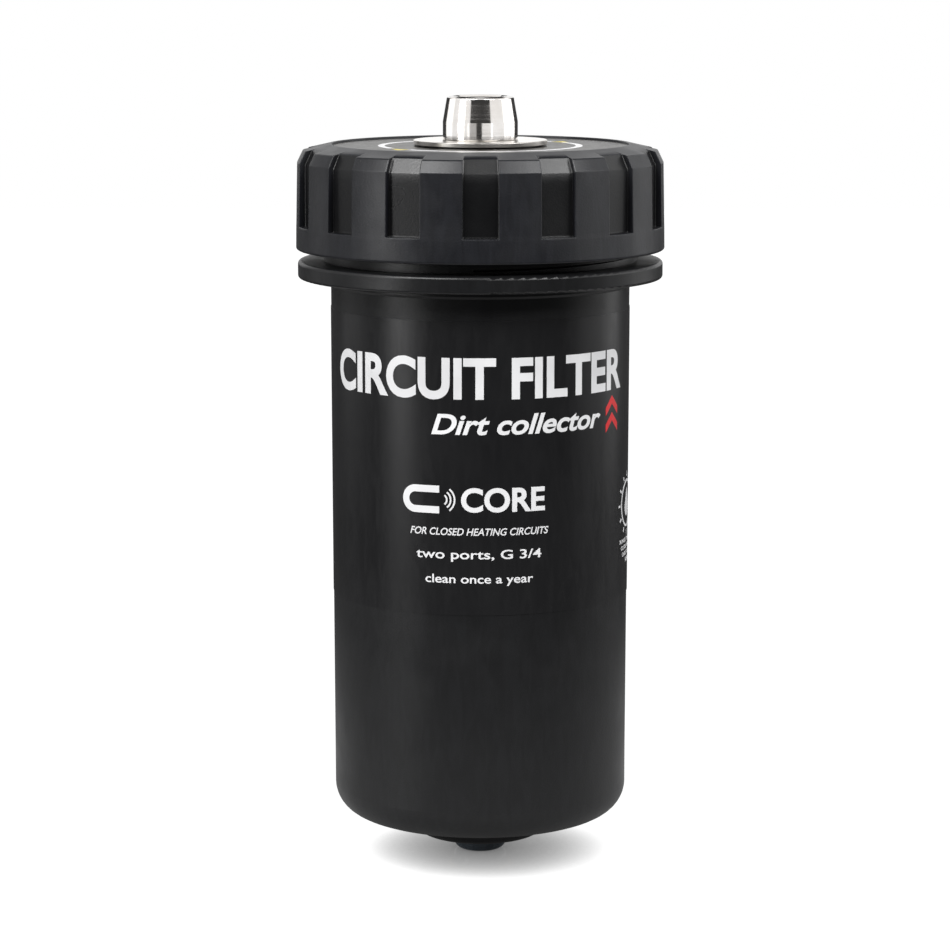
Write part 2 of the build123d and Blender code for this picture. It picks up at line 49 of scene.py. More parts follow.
def meshFromGrid(name, grid, closeU=True, closeV=False):
    # grid[u, v] holds points; each cell between neighbours in u and v is one face
    nu, nv = grid.shape[:2]
    index = np.arange(nu * nv).reshape(nu, nv)
    nextU = np.roll(index, -1, 0) if closeU else index[1:]
    thisU = index if closeU else index[:-1]
    if closeV:
        a, b, c, d = thisU, nextU, np.roll(nextU, -1, 1), np.roll(thisU, -1, 1)
    else:
        a, b, c, d = thisU[:, :-1], nextU[:, :-1], nextU[:, 1:], thisU[:, 1:]
    quads = np.stack([a, b, c, d], -1).reshape(-1, 4)
    mesh = bpy.data.meshes.new(name)
    mesh.from_pydata(grid.reshape(-1, 3), [], quads.tolist())
    mesh.update()
    mesh.shade_smooth()
    piece = bpy.data.objects.new(name, mesh)
    bpy.context.scene.collection.objects.link(piece)
    return piece


def tidyNormals(piece):
    work = bmesh.new()
    work.from_mesh(piece.data)
    bmesh.ops.remove_doubles(work, verts=work.verts, dist=1e-7)
    bmesh.ops.recalc_face_normals(work, faces=work.faces)
    work.to_mesh(piece.data)
    work.free()
    return piece


def softOutline(corners, hold, arcSteps, maxStep=6.0):
    # open polyline whose corner (x, y, radius) becomes a tangent arc; a support point stands at each end of
    # a straight, and points between keep within maxStep
    pts = np.array([c[:2] for c in corners], float)
    radii = [c[2] if len(c) > 2 else 0.0 for c in corners]
    count = len(pts)
    out = []
    for i in range(count):
        here = pts[i]
        if i in (0, count - 1) or radii[i] == 0:
            out.append(here[None])
            continue
        back = pts[i - 1] - here
        ahead = pts[i + 1] - here
        backUnit, aheadUnit = back / np.linalg.norm(back), ahead / np.linalg.norm(ahead)
        half = math.acos(np.clip(backUnit @ aheadUnit, -1, 1)) / 2
        reach = min(radii[i] / math.tan(half), 0.48 * np.linalg.norm(back), 0.48 * np.linalg.norm(ahead))
        radius = reach * math.tan(half)
        middle = backUnit + aheadUnit
        centre = here + middle / np.linalg.norm(middle) * radius / math.sin(half)
        start, end = here + backUnit * reach - centre, here + aheadUnit * reach - centre
        swing = math.atan2(start[0] * end[1] - start[1] * end[0], start @ end)
        turn = np.linspace(0, swing, arcSteps + 1)
        rotated = np.stack([start[0] * np.cos(turn) - start[1] * np.sin(turn),
                            start[0] * np.sin(turn) + start[1] * np.cos(turn)], -1)
        out.append(centre + rotated)
    line = np.concatenate(out)
    dense = [line[:1]]
    for a, b in zip(line[:-1], line[1:]):
        length = np.linalg.norm(b - a)
        stops = [1.0]
        if length > 3 * hold:
            inner = np.linspace(hold / length, 1 - hold / length, max(2, int(length / maxStep) + 2))
            stops = list(inner) + [1.0]
        dense.append(a + (b - a) * np.array(stops)[:, None])
    return np.concatenate(dense)


def newGroup(name, inputs, outputs):
    tree = bpy.data.node_groups.new(name, "ShaderNodeTree")
    for label, kind, value in inputs:
        socket = tree.interface.new_socket(name=label, in_out="INPUT", socket_type=kind)
        if value is not None:
            socket.default_value = value
    for label, kind in outputs:
        tree.interface.new_socket(name=label, in_out="OUTPUT", socket_type=kind)
    return tree, tree.nodes.new("NodeGroupInput"), tree.nodes.new("NodeGroupOutput")


def feed(tree, node, inputs):
    # each input takes either a link or a plain value
    for key, value in inputs.items():
        if isinstance(value, bpy.types.NodeSocket):
            tree.links.new(value, node.inputs[key])
        else:
            node.inputs[key].default_value = value
    return node


def addNode(tree, kind, inputs=None, **settings):
    node = tree.nodes.new(kind)
    for key, value in settings.items():
        setattr(node, key, value)
    return feed(tree, node, inputs or {})


def mathNode(tree, operation, a, b):
    return addNode(tree, "ShaderNodeMath", {0: a, 1: b}, operation=operation).outputs[0]


def ramp(tree, value, low, high):
    node = addNode(tree, "ShaderNodeMapRange", {0: value, 1: low, 2: high})
    node.interpolation_type = "SMOOTHSTEP"
    return node.outputs[0]


def makeMouldGrain():
    # Height: fine pebbled grain; Mottle: slow patches; Flow: long faint streaks; each 0 to 1
    tree, start, end = newGroup("mouldGrain", [
        ("Vector", "NodeSocketVector", None), ("Grain Size", "NodeSocketFloat", 0.0005)],
        [("Height", "NodeSocketFloat"), ("Mottle", "NodeSocketFloat"), ("Flow", "NodeSocketFloat")])
    vector = start.outputs["Vector"]
    scale = mathNode(tree, "DIVIDE", 1.0, start.outputs["Grain Size"])
    pebble = addNode(tree, "ShaderNodeTexVoronoi", {"Vector": vector, "Scale": scale, "Randomness": 1.0},
                     feature="SMOOTH_F1")
    fineScale = mathNode(tree, "MULTIPLY", scale, 1.7)
    fine = addNode(tree, "ShaderNodeTexNoise", {"Vector": vector, "Scale": fineScale, "Detail": 2.0})
    height = mathNode(tree, "ADD", mathNode(tree, "MULTIPLY", pebble.outputs["Distance"], 0.6),
                      mathNode(tree, "MULTIPLY", fine.outputs[0], 0.4))
    patches = addNode(tree, "ShaderNodeTexNoise", {"Vector": vector, "Scale": 38.0, "Detail": 3.0,
                                                   "Roughness": 0.6})
    stretched = addNode(tree, "ShaderNodeMapping", {"Vector": vector, "Scale": (300.0, 300.0, 60.0)})
    swirl = addNode(tree, "ShaderNodeTexNoise", {"Vector": stretched.outputs[0], "Scale": 1.0, "Detail": 4.0,
                                                 "Distortion": 1.2})
    tree.links.new(height, end.inputs["Height"])
    tree.links.new(ramp(tree, patches.outputs[0], 0.35, 0.65), end.inputs["Mottle"])
    tree.links.new(ramp(tree, swirl.outputs[0], 0.35, 0.7), end.inputs["Flow"])
    return tree


def makeTurningMarks():
    # Height: rings left by a lathe tool, a noise read only by distance along the axis and from it
    tree, start, end = newGroup("turningMarks", [
        ("Vector", "NodeSocketVector", None), ("Pitch", "NodeSocketFloat", 0.0002)],
        [("Height", "NodeSocketFloat"), ("Smudge", "NodeSocketFloat")])
    vector = start.outputs["Vector"]
    parts = addNode(tree, "ShaderNodeSeparateXYZ", {0: vector})
    flat = addNode(tree, "ShaderNodeCombineXYZ", {0: parts.outputs[0], 1: parts.outputs[1]})
    radius = addNode(tree, "ShaderNodeVectorMath", {0: flat.outputs[0]}, operation="LENGTH").outputs["Value"]
    ringPlace = addNode(tree, "ShaderNodeCombineXYZ", {0: radius, 1: parts.outputs[2]})
    rings = addNode(tree, "ShaderNodeTexNoise", {
        "Vector": ringPlace.outputs[0], "Scale": mathNode(tree, "DIVIDE", 1.0, start.outputs["Pitch"]),
        "Detail": 3.0, "Roughness": 0.7})
    smudge = addNode(tree, "ShaderNodeTexNoise", {"Vector": vector, "Scale": 120.0, "Detail": 4.0})
    tree.links.new(rings.outputs[0], end.inputs["Height"])
    tree.links.new(ramp(tree, smudge.outputs[0], 0.4, 0.7), end.inputs["Smudge"])
    return tree


def makeDust():
    # Mask: sparse specks that settle on faces looking up
    tree, start, end = newGroup("dustSpecks", [
        ("Vector", "NodeSocketVector", None), ("Amount", "NodeSocketFloat", 0.5)],
        [("Mask", "NodeSocketFloat")])
    specks = addNode(tree, "ShaderNodeTexVoronoi", {"Vector": start.outputs["Vector"], "Scale": 420.0})
    chance = addNode(tree, "ShaderNodeTexWhiteNoise", {"Vector": specks.outputs["Position"]})
    keep = mathNode(tree, "GREATER_THAN", chance.outputs[0], 0.93)
    spot = mathNode(tree, "LESS_THAN", specks.outputs["Distance"], 0.13)
    facing = addNode(tree, "ShaderNodeNewGeometry").outputs["Normal"]
    upward = ramp(tree, addNode(tree, "ShaderNodeSeparateXYZ", {0: facing}).outputs[2], 0.2, 0.9)
    mask = mathNode(tree, "MULTIPLY", mathNode(tree, "MULTIPLY", keep, spot), upward)
    tree.links.new(mathNode(tree, "MULTIPLY", mask, start.outputs["Amount"]), end.inputs["Mask"])
    return tree


groups = {"mouldGrain": makeMouldGrain(), "turningMarks": makeTurningMarks(), "dustSpecks": makeDust()}


def newMaterial(name):
    material = bpy.data.materials.new(name)
    material.use_nodes = True
    tree = material.node_tree
    shader = tree.nodes["Principled BSDF"]
    place = addNode(tree, "ShaderNodeTexCoord").outputs["Object"]
    return material, tree, shader, place


def placeGroup(tree, name, inputs):
    node = tree.nodes.new("ShaderNodeGroup")
    node.node_tree = groups[name]
    return feed(tree, node, inputs)


def mixColour(tree, factor, a, b):
    # a may be a colour or another mix's output
    start = a if isinstance(a, bpy.types.NodeSocket) else (*a, 1)
    node = addNode(tree, "ShaderNodeMix", {"Factor": factor, "A": start, "B": (*b, 1)}, data_type="RGBA")
    return node.outputs["Result"]


def spread(tree, value, low, high):
    # a 0 to 1 value laid over a range
    return addNode(tree, "ShaderNodeMapRange", {0: value, 3: low, 4: high}).outputs[0]


def addBump(tree, shader, height, distance):
    bump = addNode(tree, "ShaderNodeBump", {"Height": height, "Distance": distance, "Strength": 1.0})
    tree.links.new(bump.outputs[0], shader.inputs["Normal"])


dustTone = (0.35, 0.34, 0.32)


def mouldedPlastic(name, dark, light, roughness, grain, bump, dust=0.0):
    # moulded nylon: pebbled grain, slow patches of gloss, faint flow marks in the colour
    material, tree, shader, place = newMaterial(name)
    field = placeGroup(tree, "mouldGrain", {"Vector": place, "Grain Size": grain})
    colour = mixColour(tree, field.outputs["Flow"], dark, light)
    if dust:
        specks = placeGroup(tree, "dustSpecks", {"Vector": place, "Amount": dust})
        colour = mixColour(tree, specks.outputs["Mask"], colour, dustTone)
    tree.links.new(colour, shader.inputs["Base Color"])
    tree.links.new(spread(tree, field.outputs["Mottle"], *roughness), shader.inputs["Roughness"])
    addBump(tree, shader, field.outputs["Height"], bump)
    return material


def recessedPlastic(name, dark, light, recessShadeTone, roughness, grain, bump, dust):
    # the cap's nylon, whose recess floors are smoother than its ribs and carry painted shade, a darker colour
    # the deeper they lie
    material = mouldedPlastic(name, dark, light, roughness, grain, bump, dust=dust)
    tree = material.node_tree
    shader = tree.nodes["Principled BSDF"]
    sunk = addNode(tree, "ShaderNodeAttribute", attribute_name="sunk").outputs["Fac"]
    recessShadeAndGloss = ramp(tree, sunk, 0.3, 0.9)
    colour = shader.inputs["Base Color"].links[0].from_socket
    # painted shade: the colour darkens towards the shade tone where the recess floor lies deep
    tree.links.new(mixColour(tree, recessShadeAndGloss, colour, recessShadeTone), shader.inputs["Base Color"])
    gloss = shader.inputs["Roughness"].links[0].from_socket
    eased = mathNode(tree, "SUBTRACT", gloss, mathNode(tree, "MULTIPLY", recessShadeAndGloss, 0.08))
    tree.links.new(eased, shader.inputs["Roughness"])
    return material


def turnedMetal(name, dark, light, roughness, pitch, bump):
    # lathe-turned metal: fine rings in the height and gloss, slight smudges in the colour
    material, tree, shader, place = newMaterial(name)
    marks = placeGroup(tree, "turningMarks", {"Vector": place, "Pitch": pitch})
    tree.links.new(mixColour(tree, marks.outputs["Smudge"], dark, light), shader.inputs["Base Color"])
    ring = addNode(tree, "ShaderNodeMapRange", {0: marks.outputs["Height"], 1: 0.35, 2: 0.65, 3: roughness[0],
                                                4: roughness[1]}).outputs[0]
    tree.links.new(ring, shader.inputs["Roughness"])
    shader.inputs["Metallic"].default_value = 1.0
    addBump(tree, shader, marks.outputs["Height"], bump)
    return material


def thinCoat(name, dark, light, roughness, tooth, bump):
    # an even coat: slow patches in the colour, faint streaks in the gloss, a fine tooth
    material, tree, shader, place = newMaterial(name)
    field = placeGroup(tree, "mouldGrain", {"Vector": place, "Grain Size": tooth})
    tree.links.new(mixColour(tree, field.outputs["Mottle"], dark, light), shader.inputs["Base Color"])
    tree.links.new(spread(tree, field.outputs["Flow"], *roughness), shader.inputs["Roughness"])
    addBump(tree, shader, field.outputs["Height"], bump)
    return material


def printInk(name, dark, light, roughness):
    return thinCoat(name, dark, light, roughness, 0.0004, 0.000004)


def labelFilm(name, dark, light, roughness):
    return thinCoat(name, dark, light, roughness, 0.00022, 0.000006)


materials = {
    "blackNylon": mouldedPlastic("blackNylon", (0.0040, 0.0041, 0.0047), (0.0062, 0.0064, 0.0073),
                                 (0.35, 0.43), 0.00055, 0.00003, dust=0.25),
    # the cap's third colour is the painted shade tone of its recess floors
    "capNylon": recessedPlastic("capNylon", (0.0058, 0.0062, 0.0084), (0.0098, 0.0104, 0.0136),
                                (0.0030, 0.0031, 0.0036), (0.35, 0.44), 0.0006, 0.000035, 0.35),
    "innerNylon": mouldedPlastic("innerNylon", (0.07, 0.07, 0.075), (0.10, 0.10, 0.105),
                                 (0.42, 0.55), 0.0005, 0.00002),
    "sheathNylon": mouldedPlastic("sheathNylon", (0.03, 0.03, 0.034), (0.045, 0.045, 0.05),
                                  (0.28, 0.38), 0.0004, 0.00001),
    "acetal": mouldedPlastic("acetal", (0.72, 0.72, 0.69), (0.80, 0.80, 0.77),
                             (0.25, 0.35), 0.0004, 0.000008),
    "plugPlastic": mouldedPlastic("plugPlastic", (0.075, 0.092, 0.110), (0.100, 0.120, 0.140),
                                  (0.08, 0.16), 0.0006, 0.000004),
    "rubber": mouldedPlastic("rubber", (0.012, 0.012, 0.012), (0.022, 0.022, 0.022),
                             (0.6, 0.75), 0.0003, 0.00002),
    "nickel": turnedMetal("nickel", (0.72, 0.69, 0.66), (0.80, 0.78, 0.76), (0.03, 0.17), 0.00040, 0.000004),
    "portNickel": turnedMetal("portNickel", (0.62, 0.60, 0.56), (0.72, 0.70, 0.66),
                              (0.16, 0.26), 0.0002, 0.000003),
    "washerSteel": turnedMetal("washerSteel", (0.50, 0.48, 0.45), (0.58, 0.56, 0.53), (0.26, 0.34),
                               0.0006, 0.000003),
    "brass": turnedMetal("brass", (0.55, 0.38, 0.14), (0.68, 0.49, 0.20), (0.18, 0.30), 0.00025, 0.000006),
    "steel": turnedMetal("steel", (0.42, 0.42, 0.42), (0.52, 0.52, 0.52), (0.25, 0.38), 0.0003, 0.000006),
    "labelFilm": labelFilm("labelFilm", (0.0064, 0.0064, 0.0072), (0.0082, 0.0082, 0.0090), (0.30, 0.36)),
    "capFilm": labelFilm("capFilm", (0.020, 0.018, 0.015), (0.026, 0.023, 0.019), (0.30, 0.38)),
    "titleInk": printInk("titleInk", (0.72, 0.72, 0.73), (0.84, 0.84, 0.85), (0.30, 0.40)),
    "whiteInk": printInk("whiteInk", (0.80, 0.80, 0.81), (0.88, 0.88, 0.89), (0.32, 0.42)),
    "redInk": printInk("redInk", (0.62, 0.012, 0.016), (0.70, 0.018, 0.022), (0.32, 0.42)),
    "yellowInk": printInk("yellowInk", (0.75, 0.60, 0.03), (0.82, 0.67, 0.05), (0.35, 0.45)),
}
nodeFinish = {
    "canister": "blackNylon", "screw_cap": "capNylon", "body_label": "labelFilm", "cap_label": "capFilm",
    "lower_spigot": "portNickel", "upper_spigot": "portNickel", "drain_insert": "brass",
    "separator": "innerNylon", "deflector": "innerNylon", "closure_plate": "innerNylon",
    "main_seal": "rubber", "thrust_ring": "acetal", "sheath": "sheathNylon", "sheath_seal": "rubber",
    "core_end_cap": "innerNylon", "core_rod": "steel", "core_magnets": "steel", "pole_pieces": "steel",
    "core_head": "innerNylon", "core_seal": "rubber", "core_nut": "steel", "vent_washer": "washerSteel",
    "vent_body": "nickel", "vent_seal": "rubber", "jumper_seal": "rubber", "bleed_jumper": "brass",
    "bleed_screw": "brass", "drain_washer": "rubber", "drain_plug": "plugPlastic", "drain_ring": "rubber",
}
for node, finish in nodeFinish.items():
    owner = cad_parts[node]
    owner.data.materials.clear()
    owner.data.materials.append(materials[finish])
print("stage: materials,", len(materials))


def dress(piece, finish, body):
    piece.data.materials.append(materials[finish])
    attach(piece, body)
    return piece


cap = {
    "outer": 66.1, "recesses": 15, "recessWidth": 12.5, "recessDepth": 2.9, "recessFoot": 8.8,
    "edge": 0.32,          # rounding along the recess edges
    "footSpread": 0.8,     # how far rows part at a recess foot
    "bevelRise": 4.3, "bevelStep": 2.1, "coneRise": 2.1, "coneStep": 9.1, "draft": 0.6,
    "rimWidth": 1.2, "pocket": 0.95, "landDrop": 0.45, "landInset": 3.0,
    "wall": 4.25, "topWall": 3.6, "hole": 16.0, "ribOuter": 53.8, "ribWall": 5.0, "ribLow": 250.05,
    "threadLead": 8.0, "threadDepth": 2.4, "threadRoot": 4.8, "threadCrest": 2.8, "threadTurns": 2.0,
    "threadStart": 267.5, "threadRise": 3.0,
    "floorPoints": 3, "ribPoints": 5, "edgePoints": 4,   # how finely half a recess and half a rib are cut
    "wallRow": 0.9,        # spacing of the rows that shape the ridge
}


def ridgeHeight(z, angle, low, size):
    # height 0 to 1 of a helical ridge: a trapezoid in z round a centre that climbs with the angle,
    # tapered off over a fiftieth of a turn at both ends
    total = np.zeros(np.broadcast(z, angle).shape)
    halfRoot, flank = size["threadRoot"] / 2, (size["threadRoot"] - size["threadCrest"]) / 2
    turns, taper = size["threadTurns"], 0.02
    for wind in range(int(math.ceil(turns)) + 1):
        along = (angle - math.radians(size["threadStart"])) % tau / tau + wind
        offset = np.abs(z - (low + size["threadLead"] * along))
        shape = np.clip((halfRoot - offset) / flank, 0, 1)
        ends = np.clip(along / taper, 0, 1) * np.clip((turns - along) / taper, 0, 1)
        total = np.maximum(total, shape * ends)
    return total


def capOutside(size, bottom, top):
    # Rows: a revolved outline, bottom to hub. Each row has a radius, a height on the rib, a height in the
    # recess, its share of the recess, and how far the recess is let in there.
    outer, spread = size["outer"], size["footSpread"]
    shoulder = outer - size["draft"]
    bevel = shoulder - size["bevelStep"]
    flat = bevel - size["coneStep"]
    shoulderZ = top - size["coneRise"] - size["bevelRise"]
    footZ = bottom + size["recessFoot"]
    floorX = outer - size["recessDepth"]
    leanZ = shoulderZ - 0.7          # the recess floor leans in with the bevel from here up
    pocketZ, landZ = top - size["pocket"], top - size["landDrop"]
    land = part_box("vent_washer")[1].x / mm - size["landInset"]
    pocketEdge = flat - size["rimWidth"]

    outline = softOutline([(floorX - size["wall"] + 0.6, bottom), (outer, bottom, 0.8),
                           (outer - 0.1, footZ - spread), (outer - 0.16, footZ + spread),
                           (shoulder, shoulderZ, 1.0),
                           (bevel, top - size["coneRise"], 0.8), (flat, top, 1.2),
                           (pocketEdge, top, 0.2), (pocketEdge, pocketZ, 0.15),
                           (land, pocketZ, 0.15), (land, landZ, 0.15), (size["hole"], landZ, 0.2),
                           (size["hole"], landZ - 1.0)], hold=0.3, arcSteps=4, maxStep=4.0)
    radius, height = outline.T
    below = height <= footZ - spread + 1e-6
    above = height >= footZ + spread - 1e-6
    # rows through the foot: a rounded step, first out to in at one height, then up
    steps = np.array([0.0, 0.02, 0.08, 0.2, 0.5, 0.8, 0.92, 0.98, 1.0])
    rise = np.array([-0.9, -0.55, -0.3, -0.12, 0.0, 0.12, 0.3, 0.55, 0.9])
    rowR = np.concatenate([radius[below], outer - 0.13 - 0.03 * rise, radius[above]])
    rowRibZ = np.concatenate([height[below], footZ + rise * spread, height[above]])
    rowNotchZ = np.concatenate([height[below], footZ + rise * 0.28, height[above]])
    rowW = np.concatenate([np.zeros(below.sum()), steps, np.ones(above.sum())])
    slope = size["bevelStep"] / size["bevelRise"]
    floor = np.where(rowRibZ > leanZ, floorX - slope * (rowRibZ - leanZ), floorX)
    rowDepth = np.maximum(rowR - floor, 0) * rowW
    rowDepth[rowR < flat + 0.5] = 0
    return rowR, rowRibZ, rowNotchZ, rowW, rowDepth


def capAcross(size, pitch):
    # Columns of one recess with half a rib each side: the arc length from its middle, how far down the side
    # wall the point lies (1 on the floor, 0 on the rib), and the spacing used where there is no recess.
    half, edge = size["recessWidth"] / 2, size["edge"]
    floorPoints = size["floorPoints"]
    bend = np.linspace(0, math.pi / 2, size["edgePoints"])
    ribT = np.linspace(half + edge + 0.3, size["outer"] * pitch / 2, size["ribPoints"])
    # flat floor, rounded inner corner, wall, rounded outer corner, then the rib
    acrossT = np.concatenate([np.linspace(0, half - edge - 0.3, floorPoints),
                              half - edge + edge * np.sin(bend), [half, half],
                              half + edge * (1 - np.cos(bend)), ribT])
    acrossG = np.concatenate([np.ones(floorPoints), 1 - 0.12 * (1 - np.cos(bend)), [0.65, 0.35],
                              0.12 * (1 - np.sin(bend)), np.zeros(len(ribT))])
    wallPoints = len(acrossT) - floorPoints - len(ribT)
    plainT = np.concatenate([acrossT[:floorPoints],
                             np.linspace(half - edge - 0.1, half + edge + 0.1, wallPoints), ribT])
    last = len(acrossT) - 1
    sign = np.concatenate([-np.ones(last), np.ones(last)])
    order = np.concatenate([np.arange(last, 0, -1), np.arange(last)])
    return sign * acrossT[order], acrossG[order], sign * plainT[order]


def capInside(size, bottom, top, columnAngle):
    # a plain revolved outline, with the closing ridge standing in from the wall
    ceiling, landZ = top - size["topWall"], top - size["landDrop"]
    root = size["outer"] - size["recessDepth"] - size["wall"]
    ribInner = size["ribOuter"] - size["ribWall"]
    outline = softOutline([(size["hole"], landZ - 1.0), (size["hole"], ceiling, 0.3),
                           (ribInner, ceiling, 0.5), (ribInner, size["ribLow"], 0.4),
                           (size["ribOuter"], size["ribLow"], 0.4), (size["ribOuter"], ceiling, 0.5),
                           (root, ceiling, 1.0), (root, bottom, 0.5), (root + 0.6, bottom)],
                          hold=0.3, arcSteps=3, maxStep=4.0)
    # close rows on the wall that carries the ridge
    wallTop, wallLow = ceiling - 1.3, bottom + 0.8
    rows = np.linspace(wallTop, wallLow, int((wallTop - wallLow) / size["wallRow"]) + 1)
    replaced = np.where((outline[:, 0] > root - 1e-3) & (outline[:, 1] < wallTop + 0.1)
                        & (outline[:, 1] > wallLow - 0.1))[0]
    outline = np.concatenate([outline[:replaced[0]], np.column_stack([np.full(len(rows), root), rows]),
                              outline[replaced[-1] + 1:]])
    onWall = (outline[:, 0] > root - 0.01) & (outline[:, 1] < ceiling - 1)
    ridge = ridgeHeight(outline[None, :, 1], columnAngle, bottom + size["threadRise"], size)
    radius = outline[None, :, 0] - size["threadDepth"] * ridge * onWall[None, :]
    return np.stack([radius * np.cos(columnAngle), radius * np.sin(columnAngle),
                     np.broadcast_to(outline[None, :, 1], radius.shape)], -1)


def ribbedCap(size):
    # A row's depth grows from 0 to the full recess through the foot, and a column's share of it runs 0 to 1
    # down the rounded side wall. Point = outline point less share times depth, along the recess's direction.
    low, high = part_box("screw_cap")
    bottom, top = low.z / mm, high.z / mm
    pitch = tau / size["recesses"]
    rowR, rowRibZ, rowNotchZ, rowW, rowDepth = capOutside(size, bottom, top)
    colT, colG, colPlain = capAcross(size, pitch)
    cut = rowDepth > 0
    t = colPlain[:, None] + (colT - colPlain)[:, None] * (cut * rowW)[None, :]
    angle = t / size["outer"]
    ribX = rowR[None, :] * np.cos(angle)
    ribY = rowR[None, :] * np.sin(angle)
    flatFloor = rowR[None, :] - rowDepth[None, :]
    x = ribX + (np.minimum(flatFloor, ribX) - ribX) * colG[:, None] * cut[None, :]
    z = rowRibZ[None, :] + (rowNotchZ - rowRibZ)[None, :] * colG[:, None]
    columns = []
    for k in range(size["recesses"]):
        cosine, sine = math.cos(k * pitch - math.pi / 2), math.sin(k * pitch - math.pi / 2)
        columns.append(np.stack([x * cosine - ribY * sine, x * sine + ribY * cosine, z], -1))
    outside = np.concatenate(columns)
    columnAngle = np.unwrap(np.arctan2(outside[:, 0, 1], outside[:, 0, 0]))[:, None]
    inside = capInside(size, bottom, top, columnAngle)
    piece = meshFromGrid("ribbedCap", np.concatenate([outside, inside[:, 1:-1]], 1) * mm, closeV=True)
    # how far each point lies down in a recess, 0 to 1, for the smoother recess floors and their painted shade
    sunk = np.clip(colG[:, None] * (rowDepth / size["recessDepth"])[None, :], 0, 1)
    plain = np.zeros((len(outside), inside.shape[1] - 2))
    sunk = np.concatenate([np.tile(sunk, (size["recesses"], 1)), plain], 1)
    piece.data.attributes.new("sunk", "FLOAT", "POINT").data.foreach_set("value", sunk.ravel())
    return tidyNormals(piece)


capPiece = dress(ribbedCap(cap), "capNylon", "screw_cap")
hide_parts("screw_cap")
print("stage: cap,", len(capPiece.data.polygons), "faces")


printing = {
    "lift": 0.03, "sunk": 0.02,      # ink above and below the film's face
    "cut": 1.6,                      # letters are split this often so they bend with the barrel
    "barrel": 53.1, "draft": 0.6, "draftFrom": 15.0, "draftOver": 193.6, "film": 0.16,
    # each text: words, middle across and up, width, height, boldness, slant
    "title": ("CIRCUIT FILTER", 0.1, 181.1, 127.0, 14.8, 0.032, 0.0),
    "subline": ("Dirt collector", 15.6, 165.1, 66.0, 7.3, 0.024, 0.28),
    "word": ("CORE", 8.2, 138.6, 30.0, 8.7, 0.028, 0.0),
    "lines": [("FOR CLOSED HEATING CIRCUITS", -0.4, 127.4, 50.0, 2.6, 0.014, 0.25),
              ("two ports, G 3/4", -0.6, 118.9, 45.0, 4.3, 0.014, 0.0),
              ("clean once a year", -0.4, 110.2, 38.5, 4.0, 0.012, 0.0)],
    "sideLines": [("RINSE THE CORE", 77.0, 117.4, 25.0, 1.5, 0.012, 0.0),
                  ("CLOSE THE VENT", 77.0, 114.9, 22.0, 1.5, 0.012, 0.0),
                  ("CHECK THE RING", 77.0, 112.4, 19.0, 1.5, 0.012, 0.0),
                  ("REFILL", 77.0, 109.9, 9.0, 1.5, 0.012, 0.0)],
    # each mark: middle across and up, then its size
    "sideMark": (74.5, 130.6, 11.5),
    "flowMark": (56.3, 164.9, 8.6, 12.0),
    "magnetMark": (-23.4, 138.6, 5.9),
}


def filmRadius(z, size):
    # radius of the film's face at a height: the barrel, its draft and the film
    return size["barrel"] + size["draft"] * (z - size["draftFrom"]) / size["draftOver"] + size["film"]


def letters(words, weight, slant):
    # flat letters in the built-in face, as a thin solid in the XY plane
    curve = bpy.data.curves.new("letters", "FONT")
    curve.body, curve.offset, curve.shear = words, weight, slant
    curve.extrude = 0.5
    curve.resolution_u = 6
    holder = bpy.data.objects.new("letters", curve)
    bpy.context.scene.collection.objects.link(holder)
    bpy.context.view_layer.update()
    mesh = bpy.data.meshes.new_from_object(holder.evaluated_get(bpy.context.evaluated_depsgraph_get()))
    bpy.data.objects.remove(holder)
    bpy.data.curves.remove(curve)
    return mesh


def readPoints(mesh):
    points = np.empty(len(mesh.vertices) * 3)
    mesh.vertices.foreach_get("co", points)
    return points.reshape(-1, 3)


def writePoints(mesh, points):
    mesh.vertices.foreach_set("co", points.ravel())
    mesh.update()


def textPiece(name, entries):
    # each entry is laid out flat in mm: across (arc length), up, and -1 to 1 through the ink
    work = bmesh.new()
    for words, across, up, width, tall, weight, slant in entries:
        mesh = letters(words, weight, slant)
        points = readPoints(mesh)
        low, high = points.min(0), points.max(0)
        points = (points - (low + high) / 2) / (high - low) * np.array([width, tall, 2.0])
        writePoints(mesh, points + np.array([across, up, 0]))
        work.from_mesh(mesh)
        bpy.data.meshes.remove(mesh)
    joined = bpy.data.meshes.new(name)
    work.to_mesh(joined)
    work.free()
    piece = bpy.data.objects.new(name, joined)
    bpy.context.scene.collection.objects.link(piece)
    return piece


def strokeGrid(path, width, closed=False):
    # a ribbon of even width along a flat path: four corners carried along it, ends drawn to a point
    path = np.array(path, float)
    ahead = np.gradient(path, axis=0) if not closed else np.roll(path, -1, 0) - np.roll(path, 1, 0)
    ahead /= np.linalg.norm(ahead, axis=1)[:, None]
    side = np.stack([-ahead[:, 1], ahead[:, 0]], -1) * width / 2
    rows = [np.column_stack([path + sign * side, np.full(len(path), level)])
            for sign, level in ((1, -1), (-1, -1), (-1, 1), (1, 1))]
    grid = np.stack(rows, 1)
    if closed:
        return grid
    ends = [np.tile(grid[i].mean(0), (4, 1))[None] for i in (0, -1)]
    return np.concatenate([ends[0], grid, ends[1]])


def fillGrid(outline):
    # a filled flat shape: each outline point joined to the middle, below and above
    outline = np.array(outline, float)
    middle = np.tile(outline.mean(0), (len(outline), 1))
    rows = [np.column_stack([flat, np.full(len(flat), level)])
            for flat, level in ((middle, -1), (outline, -1), (outline, 1), (middle, 1))]
    return np.stack(rows, 1)


def joinPieces(name, pieces):
    work = bmesh.new()
    for piece in pieces:
        work.from_mesh(piece.data)
        mesh = piece.data
        bpy.data.objects.remove(piece)
        bpy.data.meshes.remove(mesh)
    mesh = bpy.data.meshes.new(name)
    work.to_mesh(mesh)
    work.free()
    whole = bpy.data.objects.new(name, mesh)
    bpy.context.scene.collection.objects.link(whole)
    return whole


